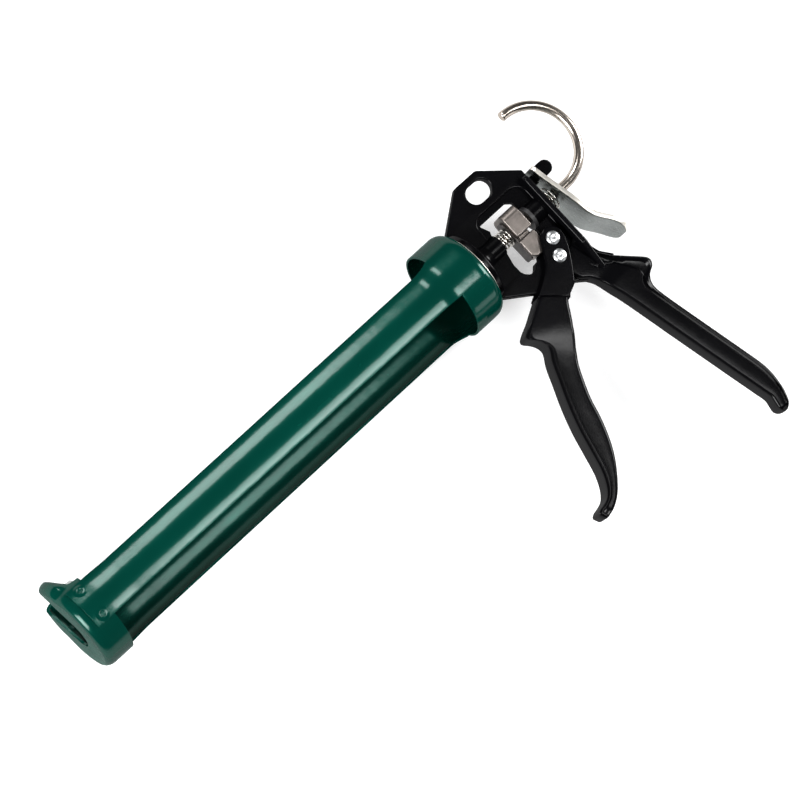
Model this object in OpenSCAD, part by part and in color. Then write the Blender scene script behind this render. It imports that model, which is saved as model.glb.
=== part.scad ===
// Caulking gun with a revolving half-open cradle, lying on its right side.
// +X runs from the nozzle end to the hook, +Y from the handles to the hanging plate,
// +Z out of the left side of the gun. Every part is drawn about the rod axis, with x = 0
// at the back face of the cradle's end plate, and lay() puts the gun on its bench spot.

/* [Cradle] */
// Length from the front face of the cap to the back of the end plate
barrel_len = 303; // [240:1:340]
// Outer radius of the two rails
rail_r = 26.5; // [26.2:0.1:27]
// Sheet thickness of the rails and collar
sheet_t = 1.2; // [1:0.1:1.4]
// Outer radius of the collar at the back
collar_r = 28.5; // [28:0.1:29.5]
// Length of the collar
collar_len = 22.4; // [18:0.2:28]
// Half angle of the window between the rails on the handle side
window_half = 51.2; // [46:0.2:54]
// Half angle from the window centre to the outer edge of a rail
rail_outer = 108.3; // [100:0.1:112]
// Roll of the cradle about its axis, from the handles toward the left side
cradle_roll = 24.5; // [0:0.5:30]

/* [Front cap] */
// Outer radius of the cap's skirt
skirt_r = 26.1; // [25.9:0.1:26.2]
// Depth of the cap
cap_depth = 17.8; // [16.5:0.1:20]
// Sheet thickness of the cap
cap_t = 1.2; // [1:0.1:1.4]
// Half width of the nozzle notch
notch_r = 9.8; // [8:0.1:11]

/* [Rod] */
// Radius of the rod
rod_r = 2.9; // [2.8:0.05:3]
// Radius of the hook's bend, to the middle of the rod
hook_r = 26.2; // [24:0.1:28]
// Place along the axis where the bend starts
hook_x = 77; // [76:0.5:84]
// Radius of the pusher plate
pusher_r = 23.2; // [20:0.1:23.4]

/* [Frame] */
// Half thickness of the frame's plate
plate_half = 3.2; // [2.8:0.1:3.6]
// Half thickness of the floor of the mechanism pocket
floor_half = 2; // [1.6:0.1:2.4]
// Half width of the back flange
flange_half = 12; // [10:0.5:13]
// Half thickness of the grip
grip_half = 7; // [6.5:0.1:7.5]

/* [Trigger] */
// Half width of the lever below the fork
lever_half = 8; // [7.6:0.1:8.4]
// Outer face of each fork cheek
cheek_out = 9.4; // [9.2:0.1:9.8]
// Inner face of each fork cheek
cheek_in = 6.4; // [6.3:0.05:6.5]

/* [Release lever] */
// Lean of the release lever from square to the rod
lean = 8.3; // [6:0.1:9]
// Thickness of the release lever
release_t = 2.8; // [2.4:0.1:3]
// Half width of the thumb end
thumb_half = 16; // [13:0.5:17]

/* [Hidden] */
$fn = 96;
run = 0.07;                      // radial clearance of a running fit
green = [0, 0.35, 0.28];
black = [0.07, 0.07, 0.08];
steel = [0.75, 0.75, 0.74];

// Bench spot: the middle of the bounding box, at its lowest face
grip_depth = 178.7;              // depth of the grip's end below the rod axis
bench_x = (barrel_len - hook_x - hook_r - rod_r) / 2;
bench_y = (grip_depth - 2 * hook_r - rod_r) / 2;

// Cradle
rail_in = rail_r - sheet_t;
rail_front = -barrel_len + 6;    // front ends of the rails
joggle_x = -barrel_len + 19.5;   // where the rails step out over the cap's skirt
joggle_len = 10;
over_r = skirt_r + sheet_t;      // outer radius of the rails over the skirt
flare_len = 12;                  // length of the flare into the collar
shoulder_len = 6.2;
mouth_r = 24;                    // outer radius of the end plate
mouth_lip = 0.5;                 // the shell stops this far short of the end plate's back
end_t = 2;
load_roll = cradle_roll + 180;   // the loading side faces away from the window
rivet_x = -barrel_len + 12.4;
rivet_rolls = [60.1, 97.5];      // angles of a rail's two rivets from the window centre
head_h = 0.9;                    // height of a rivet head above the rail

// Front cap
cap_front = -barrel_len;
face_r = 22.6;                   // radius of the flat front face
cap_round = 4.4;                 // length of the rounded front edge
skirt_gap = 60;                  // half angle of the skirt's gap on the loading side
horn_off = 8;                    // the horns lie on a circle this far off the axis
horn_r = 24.5;
horn_len = 6;

// Hub stack, front to back
hub_r = 11;
hub_front = -10;
nut_r = 17;
nut_x = [-8, -3.2];
washer_x = [-3.2, -2.4];
disc_x = [0.4, 4.6];             // the frame's disc behind the end plate
disc_r = 22.8;
bush_r = 5;

// Mechanism
neck_r = 6.8;
neck_end = 22.9;
boss_front = 47.6;
rear_bush_r = 4.6;
rear_bush_end = 57;
rear_head_r = 7.4;               // flange of the rear rod bush
rear_head_t = 2.3;
boss_r = 7;
back_x = 59.4;                   // back face of the frame
plate_end = 62.3;                // where the hanging plate stops, short of the release lever
flange_t = 3.4;
flange_y = [-52, -32, 19];       // foot, start of the taper and top of the back flange
pivot = [41.8, -27.4];
drive_pin = [46, -17.5];
pivot_r = 3;
drive_r = 2.25;
roller_r = 3.1;
block_x = [31.2, 42.6];
seat_t = 1;
release_x = 66.5;                // front face of the release lever on the rod axis
release_bend = 40;               // radius of the thumb end's curve
release_top = 19.7;
straight_end = -16;              // where the thumb end starts to curve
tab_y = [11.2, 16.2];            // neck of the frame's tab
pusher_x = [-barrel_len + 11.5, -barrel_len + 13];

// Points of an arc about c, from angle a to angle b
function arc(c, r, a, b, n = 12) =
  [for (i = [0 : n]) c + r * [cos(a + (b - a) * i / n), sin(a + (b - a) * i / n)]];

// A quarter ellipse in [radius, x]: falls from r0 by dr while x grows from x0 by dx
function shoulder(r0, dr, x0, dx, n = 8) =
  [for (i = [0 : n]) [r0 - dr * (1 - cos(90 * i / n)), x0 + dx * sin(90 * i / n)]];

// Eased step in [radius, x] between two radii
function ease(r0, r1, x0, dx, n = 8) =
  [for (i = [0 : n]) [r0 + (r1 - r0) * (1 - cos(180 * i / n)) / 2, x0 + dx * i / n]];

// Point at t on the curve between b and c, with neighbours a and d
function blend(a, b, c, d, t) =
  ((2 * b) + (c - a) * t + (2 * a - 5 * b + 4 * c - d) * t * t
    + (3 * b - a - 3 * c + d) * t * t * t) / 2;

// Smooth curve through a few points
function curve(p, n = 4) = concat(
  [for (i = [0 : len(p) - 2]) for (k = [0 : n - 1])
    blend(p[max(i - 1, 0)], p[i], p[i + 1], p[min(i + 2, len(p) - 1)], k / n)],
  [p[len(p) - 1]]);

module lay() {
  translate([bench_x, bench_y, collar_r]) children();
}

// Sector of a turned shape about the rod axis, from a profile of [radius, x] points.
// Angles count from the handles' side toward the left side of the gun.
module sector(profile, from, to) {
  rotate([0, 90, 0]) rotate_extrude(angle = to - from, start = 270 - to) polygon(profile);
}

module turned(profile) {
  rotate([0, 90, 0]) rotate_extrude() polygon(profile);
}

// Disc or tube along X
module disc(r, x, hole = 0) {
  translate([x[0], 0, 0]) rotate([0, 90, 0]) difference() {
    cylinder(r = r, h = x[1] - x[0]);
    if (hole > 0) translate([0, 0, -1]) cylinder(r = hole, h = x[1] - x[0] + 2);
  }
}

// Round pin along Z at a point of the side view
module cross_pin(at, r, half) {
  translate([at[0], at[1], -half]) cylinder(r = r, h = 2 * half);
}

// Plate with a side-view outline, centred on the gun's middle plane
module slab(half) {
  translate([0, 0, -half]) linear_extrude(2 * half) children();
}

// Box from corner to corner
module box(a, b) {
  translate(a) cube(b - a);
}

// Coil spring about the rod axis
module coil(r, wire, x0, len, turns) {
  steps = round(turns * 18);
  sides = 8;
  rings = [for (i = [0 : steps]) for (k = [0 : sides - 1])
    let (a = 360 * turns * i / steps, b = 360 * k / sides, q = r + wire * cos(b))
      [x0 + len * i / steps + wire * sin(b), q * cos(a), q * sin(a)]];
  walls = [for (i = [0 : steps - 1]) for (k = [0 : sides - 1])
    let (n = (k + 1) % sides)
      [i * sides + k, i * sides + n, (i + 1) * sides + n, (i + 1) * sides + k]];
  ends = [[for (k = [sides - 1 : -1 : 0]) k], [for (k = [0 : sides - 1]) steps * sides + k]];
  polyhedron(rings, concat(walls, ends), convexity = 10);
}

// Things placed at each rivet of the cradle, radially outward along +X of the child
module at_rivets() {
  for (side = [-1, 1]) for (roll = rivet_rolls)
    translate([rivet_x, 0, 0]) rotate([180 - cradle_roll - side * roll, 0, 0]) rotate([0, 0, 90])
      children();
}

// ---- cradle ----

rail_profile = concat(
  [[over_r, rail_front]],
  ease(over_r, rail_r, joggle_x, joggle_len),
  ease(rail_r, collar_r, -collar_len - flare_len, flare_len),
  [[collar_r, -collar_len + 3], [collar_r - sheet_t, -collar_len + 3]],
  ease(collar_r - sheet_t, rail_in, -collar_len, -flare_len),
  ease(rail_in, over_r - sheet_t, joggle_x + joggle_len, -joggle_len),
  [[over_r - sheet_t, rail_front]]);

collar_profile = concat(
  [[collar_r, -collar_len]],
  shoulder(collar_r, collar_r - mouth_r - 0.4, -shoulder_len - mouth_lip, shoulder_len),
  [[mouth_r, -mouth_lip], [mouth_r, -end_t]],
  [for (i = [8 : -1 : 0]) shoulder(collar_r - sheet_t, collar_r - sheet_t - mouth_r,
    -shoulder_len - mouth_lip, shoulder_len - 1.6)[i]],
  [[collar_r - sheet_t, -collar_len]]);

module barrel_shell() {
  color(green) difference() {
    union() {
      sector(rail_profile, cradle_roll + window_half, cradle_roll + rail_outer);
      sector(rail_profile, cradle_roll - rail_outer, cradle_roll - window_half);
      turned(collar_profile);
    }
    at_rivets() disc(2, [skirt_r - 3, over_r + 1]);
  }
}

module barrel_end_plate() {
  color(steel) disc(mouth_r, [-end_t, 0], hub_r + run);
}

cap_profile = concat(
  [[0, cap_front], [face_r, cap_front]],
  [for (i = [7 : -1 : 0]) [skirt_r - (skirt_r - face_r) * (1 - cos(90 * i / 8)),
    cap_front + cap_round * (1 - sin(90 * i / 8))]],
  [[skirt_r, cap_front + cap_depth], [skirt_r - cap_t, cap_front + cap_depth],
   [skirt_r - cap_t, cap_front + cap_round], [face_r, cap_front + cap_t], [0, cap_front + cap_t]]);

horn_profile = [
  [skirt_r - cap_t, cap_front + 2], [skirt_r + 4.4, cap_front + 2],
  [skirt_r + 4, cap_front + horn_len], [skirt_r + 0.7, cap_front + 10.4],
  [skirt_r, cap_front + 12], [skirt_r - cap_t, cap_front + 12]];

module front_cap() {
  color(green) difference() {
    union() {
      difference() {
        turned(cap_profile);
        sector([[skirt_r - 3, cap_front + horn_len], [skirt_r + 3, cap_front + horn_len],
          [skirt_r + 3, 0], [skirt_r - 3, 0]], load_roll - skirt_gap, load_roll + skirt_gap);
      }
      // Raised rim either side of the notch
      intersection() {
        difference() {
          translate([0, -horn_off * cos(load_roll), horn_off * sin(load_roll)])
            disc(horn_r, [cap_front, cap_front + horn_len]);
          disc(skirt_r - cap_t, [cap_front + cap_t, 0]);
        }
        sector([[0, cap_front], [40, cap_front], [40, 0], [0, 0]], load_roll - 75, load_roll + 75);
      }
      intersection() {
        for (side = [-1, 1])
          sector(horn_profile, load_roll + side * 35 - 25, load_roll + side * 35 + 25);
        translate([0, -horn_off * cos(load_roll), horn_off * sin(load_roll)])
          disc(horn_r, [cap_front, 0]);
      }
    }
    // Nozzle notch, open to the loading side
    disc(notch_r, [cap_front - 1, cap_front + 15]);
    rotate([180 - load_roll, 0, 0])
      box([cap_front - 1, 0, -notch_r], [cap_front + 15, 40, notch_r]);
    at_rivets() disc(2, [skirt_r - 3, over_r + 1]);
  }
}

module cap_rivets() {
  color(green) at_rivets() {
    disc(2, [skirt_r - cap_t - 0.8, over_r + head_h]);
    disc(3.8, [over_r + 0.1, over_r + head_h]);
    disc(3, [skirt_r - cap_t - 1.1, skirt_r - cap_t - 0.2]);
  }
}

// ---- rod ----

module rod() {
  color(steel) {
    disc(rod_r, [pusher_x[1] + 1.6, hook_x]);
    disc(2.4, [pusher_x[0] - 6, pusher_x[1] + 1.6]);
    translate([hook_x, hook_r, 0]) rotate_extrude(angle = 182, start = -90)
      translate([hook_r, 0]) circle(rod_r);
  }
}

module pusher_plate() {
  color(steel) turned([
    [2.4, pusher_x[0]], [14, pusher_x[0]], [16, pusher_x[0] + 1], [pusher_r, pusher_x[0] + 1],
    [pusher_r, pusher_x[1] + 3], [pusher_r - 1.2, pusher_x[1] + 3], [pusher_r - 1.2, pusher_x[1] + 1],
    [15.4, pusher_x[1] + 1], [13.4, pusher_x[1]], [2.4, pusher_x[1]]]);
}

module pusher_washer() {
  color(steel) disc(9, [pusher_x[1], pusher_x[1] + 1.6], 2.4);
}

module pusher_nut() {
  color(steel) translate([pusher_x[0] - 4, 0, 0]) rotate([0, 90, 0]) difference() {
    cylinder(r = 5.2, h = 4, $fn = 6);
    translate([0, 0, -1]) cylinder(r = 2.4, h = 6);
  }
}

// ---- frame ----

// Hanging plate, front gusset and back column, seen from the side
plate_outline = concat(
  [[disc_x[0] + 2.6, 24.4], [25.3, 39.9], [41.2, 39.8], [plate_end, 22.7]],
  [[plate_end, tab_y[0] - 0.6], [back_x, 9]],
  [[back_x, -30], [62.4, -38], [64.8, -42], [58, -52], [50, -53]],
  arc([38.6, -51.6], 8, 6, 80, 6),
  [[30, -39.5], [20, -35.2], [disc_x[0] + 2.6, -24.6]]);

// Grip with its thumb rest
grip_outline = concat(
  curve([[58.5, -31], [61.3, -35], [64, -42], [69, -48.5], [75.5, -55], [81.3, -60.5]]),
  arc([79.3, -63.6], 3.4, 45, -50, 6),
  curve([[77, -68.6], [74.4, -72], [73.6, -79], [76.6, -92.5], [83.5, -122], [89, -146],
    [90.2, -158], [88.8, -167], [86, -174.6]]),
  arc([81.2, -174], 4.7, -20, -160, 8),
  curve([[76.9, -172.6], [75.9, -164], [67, -122], [58, -80], [54.6, -66], [51.4, -55.4],
    [47.6, -49], [42.9, -45.2]]));

// Mechanism pocket, sunk into both faces of the plate
pocket_outline = concat(
  [[8, 18.8]], arc([50.5, 13.8], 5, 90, 0, 6),
  [[55.5, -20], [52, -24.6], [47, -21], [36, -19.9], [8, -19.9], [14, -8], [14, 8]]);

// Opening that the drive blocks and the drive pin move in
window_outline = [
  [21, 14.8], [42.2, 14.8], [42.2, 12.4], [45.2, 12.4], [45.2, -11], [50.6, -11],
  [50.6, -21], [36, -21], [29.6, -22.4], [27, -24.4], [23.6, -24.4], [21, -22],
  [20.6, -13], [22.4, -7], [22.5, 6.4], [23.6, 8.9]];

module hanging_hole() {
  translate([34.7, 29.6, -10]) for (side = [-1, 1]) translate([side * 2.5, 0, 0])
    cylinder(r = 5.85, h = 20);
  box([32.2, 23.75, -10], [37.2, 35.45, 10]);
}

module back_flange() {
  translate([back_x - flange_t, 0, 0]) rotate([0, 90, 0]) linear_extrude(flange_t)
    polygon([[-flange_half + 2, flange_y[2]], [-flange_half, flange_y[2] - 2],
      [-flange_half, flange_y[1]], [-grip_half + 1.2, flange_y[0]],
      [grip_half - 1.2, flange_y[0]], [flange_half, flange_y[1]],
      [flange_half, flange_y[2] - 2], [flange_half - 2, flange_y[2]]]);
}

module frame() {
  color(black) difference() {
    union() {
      difference() {
        slab(plate_half) polygon(plate_outline);
        for (side = [-1, 1]) translate([0, 0, side * (floor_half + 5)])
          slab(5) polygon(pocket_outline);
        slab(10) polygon(window_outline);
        hanging_hole();
      }
      disc(disc_r, disc_x);
      disc(hub_r, [hub_front, disc_x[0] + 1]);
      turned([[0, disc_x[1] - 1], [13, disc_x[1] - 1], [9, disc_x[1] + 2.4], [neck_r, disc_x[1] + 5],
        [neck_r, neck_end], [0, neck_end]]);
      disc(boss_r, [boss_front, back_x]);
      disc(5.6, [back_x - 1, back_x + 1.6]);
      back_flange();
      cross_pin(pivot, 6.4, cheek_in - 0.4);
      // Grip, thinner at its root where the trigger's fork passes over it
      slab(5.9) polygon(grip_outline);
      intersection() {
        slab(grip_half) offset(delta = -1.2) polygon(grip_outline);
        box([40, -200, -grip_half], [100, -58, grip_half]);
      }
      // Tab that holds the release lever
      box([60, tab_y[0], -2.5], [72, tab_y[1], 2.5]);
      slab(2.5) polygon(concat([[70.6, 10.6]], arc([74, 15], 4.4, -90, 90), [[70.6, 19.4]]));
    }
    disc(rod_r + 0.6, [hub_front - 1, 70]);
    disc(bush_r, [hub_front - 1, 6]);
    disc(rear_bush_r, [boss_front - 1, rear_bush_end]);
    disc(rear_head_r + run, [boss_front - rear_head_t - run, boss_front]);
    cross_pin(pivot, pivot_r + run, 20);
  }
}

module hub_nut() {
  color(steel) difference() {
    disc(nut_r, nut_x, hub_r);
    for (turn = [0 : 90 : 270]) rotate([turn + 45, 0, 0])
      box([nut_x[0] - 1, -2.2, nut_r - 2.4], [nut_x[1] + 1, 2.2, nut_r + 1]);
  }
}

module wave_washer() {
  color(steel) disc(15, washer_x, hub_r);
}

module front_rod_bush() {
  color("darkgoldenrod") difference() {
    union() {
      disc(bush_r, [hub_front, 6]);
      disc(7.5, [hub_front - 1.5, hub_front]);
    }
    disc(rod_r + run, [hub_front - 3, 7]);
  }
}

module rear_rod_bush() {
  color(black) difference() {
    union() {
      disc(rear_bush_r, [boss_front, rear_bush_end]);
      disc(rear_head_r, [boss_front - rear_head_t, boss_front]);
    }
    disc(rod_r + run, [boss_front - rear_head_t - 1, rear_bush_end + 1]);
  }
}

// ---- drive ----

module drive_spring() {
  color(steel) coil(5.2, 0.5, neck_end + 0.6, block_x[0] - seat_t - neck_end - 1.4, 3.5);
}

module spring_seat() {
  color(steel) difference() {
    box([block_x[0] - seat_t, -18.6, -5.6], [block_x[0], 8.6, 5.6]);
    disc(rod_r + run, [block_x[0] - 3, block_x[0] + 1]);
  }
}

module grip_block() {
  color(steel) difference() {
    intersection() {
      box([block_x[0], -4.1, -9], [block_x[1], 11.5, 9]);
      disc(13, [block_x[0], block_x[1]]);
    }
    disc(rod_r + run, [block_x[0] - 1, block_x[1] + 1]);
  }
}

module push_block() {
  color(steel) {
    slab(5.8) polygon([[block_x[0], -6.3], [block_x[1], -6.3], [block_x[1], -19.5], [34, -19.5],
      [block_x[0], -17]]);
    box([block_x[0] + 2, -6.4, -3.5], [block_x[1] - 2, -4.1, 3.5]);
  }
}

// ---- trigger ----

step_line = [[16, -36.4], [29.8, -47.9]];

cheek_edge = curve([[41.2, -12.6], [38.6, -16.4], [35.6, -21.3], [30.5, -27.8], [23.7, -32.3],
  step_line[0]]);

cheek_outline = concat(
  arc(drive_pin, 7, 0, 136, 10), cheek_edge, [step_line[1]],
  curve([[37.4, -44.6], [44, -36], [49.7, -27], [52.2, -22]]));

// The same cheek, run on into the lever
cheek_root = concat(
  arc(drive_pin, 7, 0, 136, 10), cheek_edge, [[10, -42], [24, -53]], [step_line[1]],
  curve([[37.4, -44.6], [44, -36], [49.7, -27], [52.2, -22]]));

lever_outline = concat(
  [step_line[0]],
  curve([[16, -36.4], [11, -39.6], [3.9, -43.4], [-2, -45.4]]),
  arc([-3.2, -48], 2.5, 100, 220, 6),
  curve([[-4.4, -50.6], [-1.3, -54.4], [0.5, -58.6], [-0.4, -62.4], [-4, -68.2], [-8.6, -78.9],
    [-14.1, -91.6], [-19, -105.6], [-22.6, -118.9], [-25.6, -130.4], [-29.4, -138.6],
    [-34, -143.6], [-40.6, -145.6]]),
  arc([-41.4, -149.1], 3.5, 80, 265, 8),
  curve([[-38, -152.2], [-33, -151], [-26.5, -146.8], [-19.6, -139.6], [-13, -130.4], [-7.4, -120],
    [-3.2, -108.4], [0, -98.1], [5.4, -84.7], [11, -74.6], [18.5, -65.2], [25.7, -54.8],
    [30.6, -50], step_line[1]]));

module trigger() {
  color(black) difference() {
    union() {
      for (side = [-1, 1]) {
        translate([0, 0, side * (cheek_in + cheek_out) / 2]) slab((cheek_out - cheek_in) / 2)
          polygon(cheek_outline);
        translate([0, 0, side * (cheek_in + lever_half - 0.4) / 2]) slab((lever_half - 0.4 - cheek_in) / 2)
          polygon(cheek_root);
      }
      slab(lever_half - 1.4) polygon(lever_outline);
      slab(lever_half) offset(delta = -1.3) polygon(lever_outline);
    }
    cross_pin(pivot, pivot_r, 20);
    cross_pin(drive_pin, drive_r, 20);
  }
}

// Rivet across the fork, with a head on each cheek
module fork_rivet(at, r) {
  color("silver") {
    cross_pin(at, r, cheek_out + 0.5);
    for (side = [-1, 1]) translate([at[0], at[1], side * (cheek_out + 1.05)])
      cylinder(r = 4.1, h = 1.9, center = true);
  }
}

module trigger_pivot_rivet() {
  fork_rivet(pivot, pivot_r);
}

module drive_rivet() {
  fork_rivet(drive_pin, drive_r);
}

module drive_roller() {
  color(steel) difference() {
    cross_pin(drive_pin, roller_r, cheek_in - 0.3);
    cross_pin(drive_pin, drive_r + run, 20);
  }
}

// ---- release ----

// Face of the release lever at a distance t behind its front face, from the top down
function release_face(t) =
  let (turn_r = release_bend - t,
       at = [release_x - straight_end * tan(lean), straight_end],
       centre = at + release_bend * [cos(lean), sin(lean)])
    concat([[release_x - release_top * tan(lean) + t / cos(lean), release_top]],
      arc(centre, turn_r, 180 + lean, 180 + lean + 45));

module release_lever() {
  face = release_face(0);
  back = release_face(release_t);
  color(steel) difference() {
    intersection() {
      slab(thumb_half + 1) polygon(concat(face, [for (i = [len(back) - 1 : -1 : 0]) back[i]]));
      // Front view: a narrow top that widens into a round thumb end
      translate([60, 0, 0]) rotate([0, 90, 0]) linear_extrude(40)
        polygon(concat([[-9, 19.7], [-11, 17.7], [-thumb_half, -14]],
          arc([0, -26], thumb_half, 180, 360, 24), [[thumb_half, -14], [11, 17.7], [9, 19.7]]));
    }
    for (y = [-0.3, 0.3]) translate([0, y, 0]) disc(rod_r + 0.4, [60, 76]);
    box([60, tab_y[0] - 0.6, -2.9], [72, tab_y[1] + 0.6, 2.9]);
  }
}

module release_spring() {
  color(steel) coil(6.9, 0.55, back_x + 0.6, 4.4, 2.5);
}

lay() frame();
lay() hub_nut();
lay() wave_washer();
lay() front_rod_bush();
lay() rear_rod_bush();
lay() barrel_shell();
lay() barrel_end_plate();
lay() front_cap();
lay() cap_rivets();
lay() rod();
lay() pusher_plate();
lay() pusher_washer();
lay() pusher_nut();
lay() drive_spring();
lay() spring_seat();
lay() grip_block();
lay() push_block();
lay() trigger();
lay() trigger_pivot_rivet();
lay() drive_rivet();
lay() drive_roller();
lay() release_lever();
lay() release_spring();
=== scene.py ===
import math
import bpy
import bmesh
import numpy as np
from mathutils import Matrix, Vector
from mathutils.geometry import tessellate_polygon


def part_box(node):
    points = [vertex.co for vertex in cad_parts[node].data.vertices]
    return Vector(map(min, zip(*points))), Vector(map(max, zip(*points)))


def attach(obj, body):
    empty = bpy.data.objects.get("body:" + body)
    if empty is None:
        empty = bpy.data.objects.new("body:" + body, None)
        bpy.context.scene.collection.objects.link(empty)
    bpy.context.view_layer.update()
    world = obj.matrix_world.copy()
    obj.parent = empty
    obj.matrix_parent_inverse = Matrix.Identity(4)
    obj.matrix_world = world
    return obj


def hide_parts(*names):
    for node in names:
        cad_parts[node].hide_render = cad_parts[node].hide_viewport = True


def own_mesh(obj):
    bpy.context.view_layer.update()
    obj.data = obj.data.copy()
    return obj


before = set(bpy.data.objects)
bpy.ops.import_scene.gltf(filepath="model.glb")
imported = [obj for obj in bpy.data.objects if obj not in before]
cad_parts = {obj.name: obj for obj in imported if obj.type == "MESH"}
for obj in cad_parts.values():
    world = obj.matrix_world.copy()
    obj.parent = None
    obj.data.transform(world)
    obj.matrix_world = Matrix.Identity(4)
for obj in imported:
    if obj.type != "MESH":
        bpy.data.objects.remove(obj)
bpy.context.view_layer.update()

# ---------------------------------------------------------------- where things are
# Local numbers are millimetres about the rod axis: x backward from the cradle's back face,
# y from the handles to the hanging plate, z out of the gun's left side.
plate_lo, plate_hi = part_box("barrel_end_plate")
ORIGIN = np.array([plate_hi.x, (plate_lo.y + plate_hi.y) / 2, (plate_lo.z + plate_hi.z) / 2])


def span(node):
    """A CAD node's box in local millimetres."""
    lo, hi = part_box(node)
    return (np.array(lo) - ORIGIN) * 1000, (np.array(hi) - ORIGIN) * 1000


shell_lo, shell_hi = span("barrel_shell")
cap_lo, cap_hi = span("front_cap")
grip_lo, grip_hi = span("grip_block")
seat_lo, seat_hi = span("spring_seat")
LEVER_TOP = span("release_lever")[1][1]
ROD_FRONT = span("rod")[0][0]

# Angles go round the rod axis, from the handles' side toward the camera's.
CRADLE_ROLL = 24.5      # how far the cradle is turned on its hub
WINDOW_HALF = 51.2      # half of the window between the rails
RAIL_OUTER = 108.3      # the rails' other edges
RAIL_R = 26.5
OVER_R = 27.3           # the rails where they lap over the cap
SHEET = 1.2
COLLAR_R = shell_hi[1]
COLLAR_LEN = 22.4
CAP_FRONT = cap_lo[0]
CAP_BACK = cap_hi[0]
PLATE_H = 3.2           # half the thickness of the frame's flat part
PIVOT = (41.8, -27.4)
DRIVE_PIN = (46.0, -17.5)
ROD_R = 2.9


# ---------------------------------------------------------------- mesh helpers
def arc(centre, r, start, end, n=8):
    """Points on an arc between two angles in degrees."""
    angles = np.radians(np.linspace(start, end, n + 1))
    return [(centre[0] + r * math.cos(t), centre[1] + r * math.sin(t)) for t in angles]


def circle(centre, r, n):
    return arc(centre, r, 0, 360, n)[:-1]


def curve(pts, n=4):
    """Smooth curve through the points."""
    p = np.array(pts, float)
    out = []
    for i in range(len(p) - 1):
        a, b, c, d = p[max(i - 1, 0)], p[i], p[i + 1], p[min(i + 2, len(p) - 1)]
        for k in range(n):
            t = k / n
            square = (2 * a - 5 * b + 4 * c - d) * t * t
            cube = (3 * b - a - 3 * c + d) * t ** 3
            out.append(0.5 * (2 * b + (c - a) * t + square + cube))
    out.append(p[-1])
    return [tuple(q) for q in out]


def rounded(corners, n=5):
    """Outline from (x, y, corner radius)."""
    out = []
    m = len(corners)
    for i in range(m):
        p = np.array(corners[i][:2], float)
        r = corners[i][2] if len(corners[i]) > 2 else 0
        a = np.array(corners[i - 1][:2], float) - p
        b = np.array(corners[(i + 1) % m][:2], float) - p
        la, lb = np.linalg.norm(a), np.linalg.norm(b)
        a, b = a / la, b / lb
        half = math.acos(max(-1, min(1, float(a @ b)))) / 2
        nearly_straight = half > math.radians(88)
        if r <= 0 or nearly_straight:
            out.append(tuple(p))
            continue
        d = min(r / math.tan(half), 0.48 * la, 0.48 * lb)
        r = d * math.tan(half)
        mid = (a + b) / np.linalg.norm(a + b)
        c = p + mid * (r / math.sin(half))
        s, e = p + a * d - c, p + b * d - c
        t0 = math.atan2(s[1], s[0])
        dt = (math.atan2(e[1], e[0]) - t0 + math.pi) % (2 * math.pi) - math.pi
        k = max(2, int(n * abs(dt) / 1.2))
        turn = [t0 + dt * j / k for j in range(k + 1)]
        out += [(c[0] + r * math.cos(t), c[1] + r * math.sin(t)) for t in turn]
    return out


def area(loop):
    """Signed area, positive for a loop that runs anticlockwise."""
    p = np.array(loop, float)
    q = np.roll(p, -1, 0)
    return 0.5 * float(np.sum(p[:, 0] * q[:, 1] - q[:, 0] * p[:, 1]))


def clean(loop, gap=0.04):
    """The loop without points that lie closer together than the gap."""
    out = []
    for p in loop:
        if not out or math.hypot(p[0] - out[-1][0], p[1] - out[-1][1]) > gap:
            out.append(tuple(map(float, p)))
    if len(out) > 1 and math.hypot(out[0][0] - out[-1][0], out[0][1] - out[-1][1]) <= gap:
        out.pop()
    return out


def inset(loop, d):
    """The loop moved by d toward its left side."""
    p = np.array(loop, float)
    e = np.roll(p, -1, 0) - p
    e /= np.linalg.norm(e, axis=1)[:, None]
    n = np.stack([-e[:, 1], e[:, 0]], 1)
    m = np.roll(n, 1, 0)
    s = n + m
    sharpest = 0.35
    k = np.maximum(1 + np.sum(n * m, 1), sharpest)
    return p + d * s / k[:, None]


class Shell:
    """Vertices in local millimetres and faces, closed."""

    def __init__(self, v, f):
        self.v = np.array(v, float).reshape(-1, 3)
        self.f = f

    def moved(self, fn):
        return Shell(np.array([fn(*p) for p in self.v]), self.f)


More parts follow.
